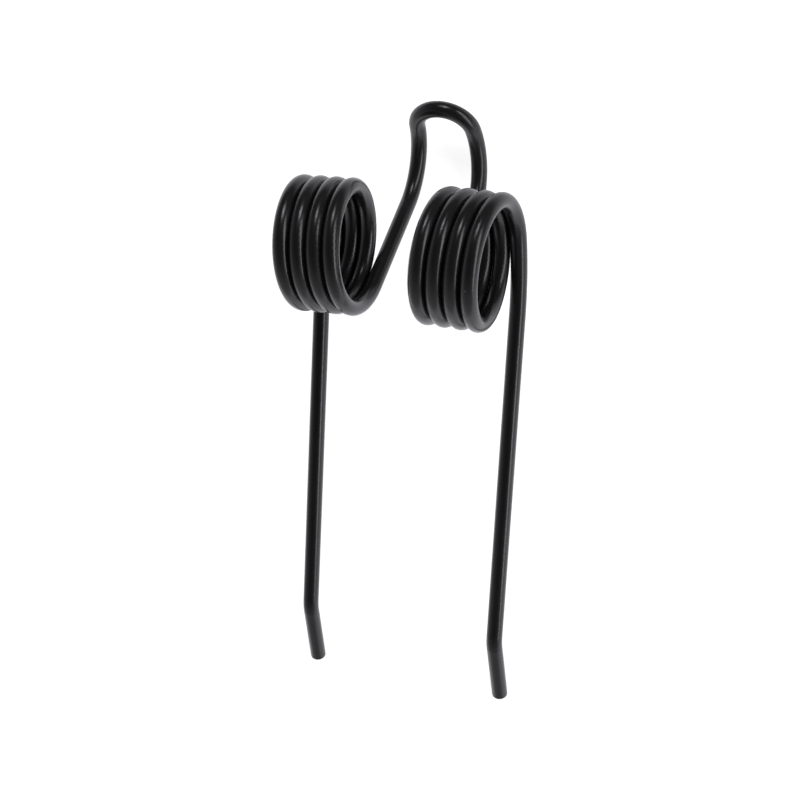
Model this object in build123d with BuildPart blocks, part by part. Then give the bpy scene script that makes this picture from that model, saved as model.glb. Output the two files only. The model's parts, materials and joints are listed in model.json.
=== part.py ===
"""Double torsion spring, such as a tine of a hay rake or of a baler's pickup.

One steel wire is wound into two coils of opposite hand, side by side. A straight leg leaves
the outer end of each coil, and a loop joins their inner ends. The wire is drawn in its
winding frame, where Z runs across the spring, +X is its back and the legs point along -Y.
The finished spring lies on its back, on the two shoulders of its loop and on the ends of
its tips, with its legs along -Y.
"""

import os
from math import asin, atan2, degrees, hypot, radians, sin

from build123d import *

# Wire
wire_diameter = 6.0
end_round = 0.9

# Legs, measured from the lead-in to the knee, the corner where the lines of leg and tip
# would meet
leg_spacing = 76.0
leg_length = 126.0
tip_length = 28.4
tip_angle = 23.0
tip_splay = 3.5
tip_bend_radius = 12.0

# Coils: each starts above the level of its axis, on a wide bend that leads in from the leg.
# Its outer end dips and comes forward a little.
lead_in_radius = 100.0
coil_mean_diameter = 42.0
coil_gap = 0.1
start_angle = 15.5
full_turns = 3
exit_heading = 43.0
coil_dip = 1.1
coil_toe = 1.1

# Loop
branch_length = 39.0
shoulder_radius = 20.0
shoulder_angle = 94.0
shoulder_lean = 5.0

wire_radius = wire_diameter / 2
coil_pitch = wire_diameter + coil_gap
up = Vector(0, 1, 0)
middle = Vector(0, 0, 1)

# Leg: its tip bends back and a little outwards.
leg_top = Vector(0, 0, -leg_spacing / 2)
knee = leg_top - up * leg_length
tip_direction = Vector(1, 0, 0).rotate(Axis.Z, tip_angle - 90).rotate(Axis.Y, tip_splay)
tip_end = knee + tip_direction * tip_length

with BuildLine() as leg:
    FilletPolyline(tip_end, knee, leg_top, radius=tip_bend_radius)

# Coil: from the back over the top, down the front and under, until it heads back and up.
coil_angle = full_turns * 360 + 270 + exit_heading - start_angle
coil_height = coil_pitch * coil_angle / 360
coil_tilt = Rotation(-coil_dip, coil_toe, start_angle)
coil = coil_tilt * Helix(coil_pitch, coil_height, coil_mean_diameter / 2)
coil_axis = coil_tilt.z_axis.direction

# Lead-in: it turns from the leg into the wire's direction at the start of the coil, which
# takes its place at the end of this bend.
coil_direction = coil % 0

with BuildLine(Plane(leg_top, up, up.cross(coil_direction))) as lead_in:
    JernArc((0, 0), (1, 0), lead_in_radius, coil_direction.get_angle(up))

coil = Pos(lead_in.line @ 1 - coil @ 0) * coil

# Branch: it leaves the coil straight, and its shoulder bends over with a lean to the middle.
coil_end = coil @ 1
end_direction = coil % 1
inward = coil_axis.cross(end_direction)
bend_direction = inward.rotate(Axis(coil_end, end_direction), shoulder_lean)

with BuildLine(Plane(coil_end, end_direction, end_direction.cross(bend_direction))) as branch:
    straight = Line((0, 0), (branch_length, 0))
    shoulder = JernArc(straight @ 1, straight % 1, shoulder_radius, shoulder_angle)

# Hook: an arc towards the other coil, square to the middle plane where it reaches it.
hook_start = shoulder @ 1
hook_direction = shoulder % 1
hook_angle = hook_direction.get_angle(middle)
hook_radius = -hook_start.Z / sin(radians(hook_angle))

with BuildLine(Plane(hook_start, hook_direction, hook_direction.cross(middle))) as hook:
    JernArc((0, 0), (1, 0), hook_radius, hook_angle)

# Wire: half of the spring is swept and mirrored, because the coils are of opposite hand.
with BuildPart() as wire:
    with BuildLine() as centre_line:
        add([leg.line, lead_in.line, coil, branch.line, hook.line])
    with BuildSketch(Plane(tip_end, z_dir=-tip_direction)):
        Circle(wire_radius)
    sweep(path=centre_line.line)
    fillet(wire.edges().sort_by(Axis.Y)[0], end_round)
    mirror(about=Plane.XY)

# Floor: seen from the side it touches the round of a tip's end and the outside of a
# shoulder, which are all but circles.
tip_centre = tip_end - tip_direction * end_round
tip_centre += tip_direction.rotate(Axis.Z, 90) * (wire_radius - end_round)
span = shoulder.arc_center - tip_centre
overhang = shoulder_radius + wire_radius - end_round
floor_angle = degrees(atan2(span.Y, span.X) - asin(overhang / hypot(span.X, span.Y))) - 90
laid = wire.part.rotate(Axis.Z, -floor_angle).rotate(Axis.Y, 90)
box = laid.bounding_box()

with BuildPart() as torsion_spring:
    with Locations((0, -box.center().Y, -box.min.Z)):
        add(laid)

torsion_spring.part.label = "torsion_spring"
os.makedirs("parts", exist_ok=True)
export_step(torsion_spring.part, "parts/torsion_spring.step")
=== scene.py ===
"""Double torsion spring of black enamelled wire, lying on its back on a pale floor."""
import json
import logging
from dataclasses import dataclass, field
from enum import Enum
from math import cos, pi, radians, sin
from typing import Any

import bpy
from mathutils import Matrix, Vector

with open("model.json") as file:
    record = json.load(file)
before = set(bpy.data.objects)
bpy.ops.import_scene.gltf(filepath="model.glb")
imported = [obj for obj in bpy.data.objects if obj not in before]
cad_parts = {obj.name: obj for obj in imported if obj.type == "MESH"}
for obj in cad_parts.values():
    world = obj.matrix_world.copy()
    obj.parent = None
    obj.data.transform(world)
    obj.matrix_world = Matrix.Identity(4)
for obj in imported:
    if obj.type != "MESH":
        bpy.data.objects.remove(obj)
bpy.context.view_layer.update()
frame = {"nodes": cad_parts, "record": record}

log = logging.getLogger("torsion_spring")

MM = 0.001
# The studio's lamps are a little cooler than white, and so is all that the enamel mirrors.
COOL_WHITE = "#FAF9FF"


class Piece(Enum):
    """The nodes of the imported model."""

    SPRING = "torsion_spring"


class Ray(Enum):
    """The kinds of ray that the studio's white tells apart."""

    CAMERA = "Is Camera Ray"
    GLOSSY = "Is Glossy Ray"
    TRANSMISSION = "Is Transmission Ray"


class Measure(Enum):
    """The ways to measure the angle between a direction and an axis."""

    OFF_AXIS = "ARCCOSINE"
    ABOVE_PLANE = "ARCSINE"


def linear(colour: str) -> tuple[float, float, float, float]:
    """Turns an sRGB hex colour into linear light.

    Args:
        colour: The colour as "#RRGGBB".

    Returns:
        Red, green, blue and an alpha of 1.
    """
    channels = [int(colour[i:i + 2], 16) / 255 for i in (1, 3, 5)]
    light = [c / 12.92 if c <= 0.04045 else ((c + 0.055) / 1.055) ** 2.4 for c in channels]
    return (*light, 1.0)


def add_node(
    tree: bpy.types.NodeTree,
    kind: str,
    settings: dict[str, Any] | None = None,
    **inputs: Any,
) -> bpy.types.Node:
    """Adds a node with its settings, its values and its links.

    Args:
        tree: The node tree that takes the node.
        kind: The node's type, such as "ShaderNodeMath".
        settings: Properties of the node itself.
        inputs: A value, or another node's output, for each input. An input is named by its
            label with spaces as underscores, or by its number as in_0, in_1 and so on.

    Returns:
        The new node.
    """
    node = tree.nodes.new(kind)
    for name, value in (settings or {}).items():
        setattr(node, name, value)
    for name, value in inputs.items():
        key = int(name[3:]) if name.startswith("in_") else name.replace("_", " ")
        if isinstance(value, bpy.types.NodeSocket):
            tree.links.new(value, node.inputs[key])
        else:
            node.inputs[key].default_value = value
    return node


def new_material(name: str) -> tuple[bpy.types.Material, bpy.types.NodeTree]:
    """Makes an empty node material.

    Args:
        name: The material's name.

    Returns:
        The material and its node tree.
    """
    material = bpy.data.materials.new(name)
    material.use_nodes = True
    material.node_tree.nodes.clear()
    return material, material.node_tree


def sees_white(tree: bpy.types.NodeTree) -> bpy.types.NodeSocket:
    """Gives 1 for what is seen directly or through glass, and 0 for all other rays.

    Args:
        tree: The node tree that asks.

    Returns:
        The socket that holds the answer.
    """
    path = add_node(tree, "ShaderNodeLightPath")
    either = add_node(tree, "ShaderNodeMath", {"operation": "MAXIMUM"},
                      in_0=path.outputs[Ray.CAMERA.value], in_1=path.outputs[Ray.TRANSMISSION.value])
    return either.outputs[0]


@dataclass(frozen=True)
class BlackEnamel:
    """Stoving enamel, dipped over drawn spring steel and baked.

    It gives the eye a near-black body with a wet-looking gloss, which a faint orange peel
    breaks up, small bumps where dust settled in the film, and one pale fleck where it was
    chipped on the front of the right coil's outer turn.
    """

    colour: str = "#212121"
    colour_thin: str = "#272727"
    ior: float = 1.5

    # The film varies slowly in thickness, and its gloss with it.
    cloud_size: float = 9.0 * MM
    cloud_detail: float = 3.0
    cloud_low: float = 0.3
    cloud_high: float = 0.7
    roughness: float = 0.24
    roughness_spread: float = 0.05

    # Orange peel
    peel_size: float = 0.9 * MM
    peel_depth: float = 0.004 * MM
    peel_detail: float = 3.0
    peel_fineness: float = 0.85

    # Dust: a grain in each cell, whose radius is a share of the cell's size.
    dust_size: float = 0.9 * MM
    dust_depth: float = 0.012 * MM
    dust_radius: float = 0.16
    dust_strength: float = 0.15

    # Chip: pale within its inner radius, and gone past its outer one.
    chip_colour: str = "#5E5E62"
    chip_place: tuple[float, float, float] = (33.27 * MM, 50.89 * MM, 73.05 * MM)
    chip_inner: float = 0.175 * MM
    chip_outer: float = 0.467 * MM

    def build(self) -> bpy.types.Material:
        """Makes the enamel's material.

        Returns:
            The material.
        """
        material, tree = new_material("black_stoving_enamel")
        place = add_node(tree, "ShaderNodeTexCoord").outputs["Object"]
        cloud = add_node(tree, "ShaderNodeTexNoise", Vector=place, Scale=1 / self.cloud_size,
                         Detail=self.cloud_detail)
        peel = add_node(tree, "ShaderNodeTexNoise", Vector=place, Scale=1 / self.peel_size,
                        Detail=self.peel_detail, Roughness=self.peel_fineness)
        grain = add_node(tree, "ShaderNodeTexVoronoi", Vector=place, Scale=1 / self.dust_size)
        dust = add_node(tree, "ShaderNodeMapRange", {"interpolation_type": "SMOOTHSTEP"},
                        Value=grain.outputs["Distance"], From_Min=0.0, From_Max=self.dust_radius,
                        To_Min=1.0, To_Max=0.0)
        colour = add_node(tree, "ShaderNodeMix", {"data_type": "RGBA"}, in_0=cloud.outputs["Fac"],
                          in_6=linear(self.colour), in_7=linear(self.colour_thin))
        off_chip = add_node(tree, "ShaderNodeVectorMath", {"operation": "DISTANCE"},
                            in_0=place, in_1=self.chip_place)
        chip = add_node(tree, "ShaderNodeMapRange", {"interpolation_type": "SMOOTHSTEP"},
                        Value=off_chip.outputs["Value"], From_Min=self.chip_inner, From_Max=self.chip_outer,
                        To_Min=1.0, To_Max=0.0)
        chipped = add_node(tree, "ShaderNodeMix", {"data_type": "RGBA"}, in_0=chip.outputs["Result"],
                           in_6=colour.outputs[2], in_7=linear(self.chip_colour))
        gloss = add_node(tree, "ShaderNodeMapRange", Value=cloud.outputs["Fac"],
                         From_Min=self.cloud_low, From_Max=self.cloud_high,
                         To_Min=self.roughness - self.roughness_spread / 2,
                         To_Max=self.roughness + self.roughness_spread / 2)
        skin = add_node(tree, "ShaderNodeBump", Height=peel.outputs["Fac"],
                        Distance=self.peel_depth, Strength=1.0)
        specks = add_node(tree, "ShaderNodeBump", Height=dust.outputs["Result"],
                          Distance=self.dust_depth, Strength=self.dust_strength,
                          Normal=skin.outputs["Normal"])
        shader = add_node(tree, "ShaderNodeBsdfPrincipled", IOR=self.ior,
                          Base_Color=chipped.outputs[2], Roughness=gloss.outputs["Result"],
                          Normal=specks.outputs["Normal"])
        add_node(tree, "ShaderNodeOutputMaterial", Surface=shader.outputs[0])
        return material


@dataclass(frozen=True)
class WhitePaper:
    """Matt background paper, so bright to the eye that only the faintest shadow shows on it.

    Its reflection in the enamel is a painted reflection: for glossy rays the paper glows with a
    cool emission, bright near the spring, which fades to a dim glow past the spring's loop and to
    its right, painted shade that stands in for the paper running out of the light. The fade goes
    along a heading in the plane of the paper, in degrees from +Y towards +X, and its ends are
    metres from the paper's middle.
    """

    colour: str = "#F4F4F4"
    seen: float = 0.86
    # Painted reflection: the strength and cool colour of the glow that only reflections see, and its dim
    # strength past the fade.
    mirrored: float = 0.92
    mirrored_colour: str = COOL_WHITE
    unlit: float = 0.06
    fade_heading: float = 27.0
    fade_start: float = 0.02
    fade_end: float = 0.29

    def build(self) -> bpy.types.Material:
        """Makes the paper's material.

        Returns:
            The material.
        """
        material, tree = new_material("white_background_paper")
        mirror = add_node(tree, "ShaderNodeLightPath").outputs[Ray.GLOSSY.value]
        seen = add_node(tree, "ShaderNodeMath", {"operation": "MULTIPLY"},
                        in_0=sees_white(tree), in_1=self.seen)
        # Painted reflection: an emission that only the enamel's reflections see, a glow on paper that is no
        # lamp.
        mirrored = add_node(tree, "ShaderNodeMath", {"operation": "MULTIPLY"},
                            in_0=mirror, in_1=self.mirrored)
        matt = add_node(tree, "ShaderNodeBsdfDiffuse", Color=linear(self.colour))
        white = add_node(tree, "ShaderNodeEmission", Strength=seen.outputs[0])
        cool = add_node(tree, "ShaderNodeEmission", Color=linear(self.mirrored_colour),
                        Strength=mirrored.outputs[0])
        glow = add_node(tree, "ShaderNodeAddShader", in_0=white.outputs[0], in_1=cool.outputs[0])
        lit = add_node(tree, "ShaderNodeAddShader", in_0=matt.outputs[0], in_1=glow.outputs[0])
        # Painted shade in the reflections: past the fade, glossy rays see the paper only as this dim glow.
        unlit = add_node(tree, "ShaderNodeEmission", Strength=self.unlit)
        place = add_node(tree, "ShaderNodeTexCoord").outputs["Object"]
        heading = radians(self.fade_heading)
        along = add_node(tree, "ShaderNodeVectorMath", {"operation": "DOT_PRODUCT"},
                         in_0=place, in_1=(sin(heading), cos(heading), 0.0))
        fade = add_node(tree, "ShaderNodeMapRange", {"interpolation_type": "SMOOTHSTEP"},
                        Value=along.outputs["Value"], From_Min=self.fade_start, From_Max=self.fade_end)
        dim = add_node(tree, "ShaderNodeMath", {"operation": "MULTIPLY"},
                       in_0=mirror, in_1=fade.outputs["Result"])
        paper = add_node(tree, "ShaderNodeMixShader", in_0=dim.outputs[0],
                         in_1=lit.outputs[0], in_2=unlit.outputs[0])
        add_node(tree, "ShaderNodeOutputMaterial", Surface=paper.outputs[0])
        return material


@dataclass
class TorsionSpring:
    """The spring itself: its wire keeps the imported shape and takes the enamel."""

    finish: BlackEnamel = BlackEnamel()

    def dress(self) -> None:
        """Puts the enamel on the wire."""
        wire = frame["nodes"][Piece.SPRING.value]
        enamel = self.finish.build()
        for slot in wire.material_slots:
            slot.material = enamel
        log.info("%s: %d faces in %s", wire.name, len(wire.data.polygons), enamel.name)


@dataclass
class Floor:
    """A sheet of background paper under the spring."""

    side: float = 3.0
    paper: WhitePaper = WhitePaper()

    def build(self) -> None:
        """Lays the paper at the height that the spring rests on."""
        half = self.side / 2
        corners = [(-half, -half, 0), (half, -half, 0), (half, half, 0), (-half, half, 0)]
        mesh = bpy.data.meshes.new("floor")
        mesh.from_pydata(corners, [], [(0, 1, 2, 3)])
        mesh.materials.append(self.paper.build())
        floor = bpy.data.objects.new("floor", mesh)
        bpy.context.scene.collection.objects.link(floor)
        log.info("floor: %.1f m square", self.side)


@dataclass
class Viewpoint:
    """Where the spring is seen from.

    The angles, in degrees, are those of a spring that stands on its tips, faced from the
    front of its coils, and the whole view is laid back with the spring.
    """

    around: float = 20.55
    above: float = 14.53
    roll: float = 2.91
    distance: float = 487.5 * MM
    aim_right: float = 1.21 * MM
    aim_up: float = -51.0 * MM
    view_width: float = 276.1 * MM
    laid_back: float = 85.57
    sensor: float = 36.0

    def coil_centre(self) -> Vector:
        """Finds the middle of the coils' axis from the opening through both coils.

        Returns:
            The point, in metres.
        """
        openings = frame["record"]["physics"]["openings"]
        bores = next(o for o in openings if o["name"] == "coil_bores")
        low, high = (Vector(corner) for corner in bores["box_m"])
        return (low + high) / 2

    def standing(self) -> Matrix:
        """Gives the viewer's right, forward and upright axes, before the camera looks down."""
        laid = Matrix.Rotation(radians(-self.laid_back), 4, "X")
        return laid @ Matrix.Rotation(radians(self.around), 4, "Z")

    def direction(self, right: float, above: float) -> Vector:
        """Finds a direction from the spring.

        Args:
            right: Degrees to the right of the viewer.
            above: Degrees above the level of the spring.

        Returns:
            The direction, of length 1.
        """
        side, rise = radians(right), radians(above)
        return self.standing() @ Vector((sin(side) * cos(rise), -cos(side) * cos(rise), sin(rise)))

    def turn(self) -> Matrix:
        """Gives the view's right, up and backward axes as the columns of a rotation."""
        look = Matrix.Rotation(radians(90 - self.above), 4, "X")
        return self.standing() @ look @ Matrix.Rotation(radians(self.roll), 4, "Z")

    def build(self) -> None:
        """Sets up the camera."""
        lens = bpy.data.cameras.new("camera")
        lens.sensor_width = self.sensor
        lens.lens = self.sensor * self.distance / self.view_width
        camera = bpy.data.objects.new("camera", lens)
        step = Matrix.Translation((self.aim_right, self.aim_up, self.distance))
        camera.matrix_world = Matrix.Translation(self.coil_centre()) @ self.turn() @ step
        bpy.context.scene.collection.objects.link(camera)
        bpy.context.scene.camera = camera
        log.info("camera: %.1f mm lens at %s", lens.lens, camera.matrix_world.translation)


@dataclass
class Softbox:
    """A flat soft light.

    Its place is given as the viewer sees it: degrees to the right and above the level of the
    coils, and the distance from the middle between them. A light that is neither swung nor
    tilted faces the coils.
    """

    name: str
    right: float
    above: float
    distance: float
    width: float
    height: float
    radiance: float
    swing: float = 0.0
    tilt: float = 0.0
    colour: str = COOL_WHITE

    def build(self, view: Viewpoint) -> None:
        """Hangs the light.

        Args:
            view: The viewpoint that the light's angles are measured from.
        """
        lamp = bpy.data.lights.new(self.name, "AREA")
        lamp.shape = "RECTANGLE"
        lamp.size, lamp.size_y = self.width, self.height
        lamp.energy = self.radiance * pi * self.width * self.height
        lamp.color = linear(self.colour)[:3]
        place = view.coil_centre() + view.direction(self.right, self.above) * self.distance
        back = view.direction(self.right + self.swing, self.above + self.tilt)
        across = view.direction(0, 90).cross(back).normalized()
        light = bpy.data.objects.new(self.name, lamp)
        turn = Matrix((across, back.cross(across), back)).transposed().to_4x4()
        light.matrix_world = Matrix.Translation(place) @ turn
        light.visible_camera = False
        bpy.context.scene.collection.objects.link(light)
        log.info("%s: %.2f W", self.name, lamp.energy)


@dataclass
class LightTent:
    """The white tent around the table, with a dark opening for the camera and a grey roof.

    Angles are in degrees. The opening fades into the wall over a wide band, as the wall
    turns away from the lamps outside. The camera itself sees plain white in its place.
    """

    seen_colour: str = "#FFFFFF"
    cloth_colour: str = "#E3E2E7"
    wall: float = 0.80
    roof: float = 0.07
    opening_right: float = -5.0
    opening_above: float = 18.9
    opening_start: float = 30.2
    opening_end: float = 116.0
    roof_right: float = 125.0
    roof_above: float = 78.0
    roof_start: float = 5.0
    roof_end: float = 48.0

    def build(self, view: Viewpoint) -> None:
        """Sets up the world.

        Args:
            view: The viewpoint that the tent's angles are measured from.
        """
        world = bpy.data.worlds.new("light_tent")
        bpy.context.scene.world = world
        world.use_nodes = True
        tree = world.node_tree
        tree.nodes.clear()
        way = add_node(tree, "ShaderNodeTexCoord").outputs["Generated"]
        opening = view.direction(self.opening_right, self.opening_above)
        wall = self.band(tree, way, opening, Measure.OFF_AXIS, self.opening_start, self.opening_end)
        lit_wall = add_node(tree, "ShaderNodeMath", {"operation": "MULTIPLY"}, in_0=wall, in_1=self.wall)
        zenith = view.direction(self.roof_right, self.roof_above)
        roof = self.band(tree, way, zenith, Measure.ABOVE_PLANE, self.roof_start, self.roof_end)
        strength = add_node(tree, "ShaderNodeMix", in_0=roof, in_2=lit_wall.outputs[0], in_3=self.roof)
        tent = add_node(tree, "ShaderNodeBackground", Color=linear(self.cloth_colour),
                        Strength=strength.outputs[0])
        white = add_node(tree, "ShaderNodeBackground", Color=linear(self.seen_colour), Strength=1.0)
        both = add_node(tree, "ShaderNodeMixShader", in_0=sees_white(tree),
                        in_1=tent.outputs[0], in_2=white.outputs[0])
        add_node(tree, "ShaderNodeOutputWorld", Surface=both.outputs[0])
        log.info("light tent: wall %.2f, roof %.2f", self.wall, self.roof)

    @staticmethod
    def band(
        tree: bpy.types.NodeTree,
        way: bpy.types.NodeSocket,
        axis: Vector,
        measure: Measure,
        start: float,
        end: float,
    ) -> bpy.types.NodeSocket:
        """Fades from 0 to 1 with the angle of a direction.

        Args:
            tree: The world's node tree.
            way: The direction that is looked in.
            axis: The direction that the angle belongs to.
            measure: How the angle is measured from the axis.
            start: The angle where the fade starts, in degrees.
            end: The angle where it ends.

        Returns:
            The socket that holds the fade.
        """
        along = add_node(tree, "ShaderNodeVectorMath", {"operation": "DOT_PRODUCT"}, in_0=way, in_1=axis)
        angle = add_node(tree, "ShaderNodeMath", {"operation": measure.value}, in_0=along.outputs["Value"])
        fade = add_node(tree, "ShaderNodeMapRange", {"interpolation_type": "SMOOTHSTEP"},
                        Value=angle.outputs[0], From_Min=radians(start), From_Max=radians(end))
        return fade.outputs["Result"]


@dataclass
class Studio:
    """The floor, the tent, the lights and the camera."""

    view: Viewpoint = field(default_factory=Viewpoint)
    floor: Floor = field(default_factory=Floor)
    tent: LightTent = field(default_factory=LightTent)
    lights: list[Softbox] = field(default_factory=lambda: [
        Softbox("side_softbox", right=47.5, above=-1.1, distance=0.734, width=0.34, height=1.06,
                radiance=3.9, swing=49.3, tilt=21.7),
        Softbox("top_softbox", right=-16.1, above=57.5, distance=0.421, width=0.135, height=0.135,
                radiance=6.9, swing=54.3, tilt=-22.3),
    ])

    def build(self) -> None:
        """Builds everything around the spring."""
        self.floor.build()
        self.tent.build(self.view)
        for light in self.lights:
            light.build(self.view)
        self.view.build()
        bpy.context.scene.view_settings.view_transform = "Standard"


def main() -> None:
    """Dresses the spring and builds the studio."""
    logging.basicConfig(level=logging.INFO, format="%(message)s")
    TorsionSpring().dress()
    Studio().build()


if __name__ == "__main__":
    main()
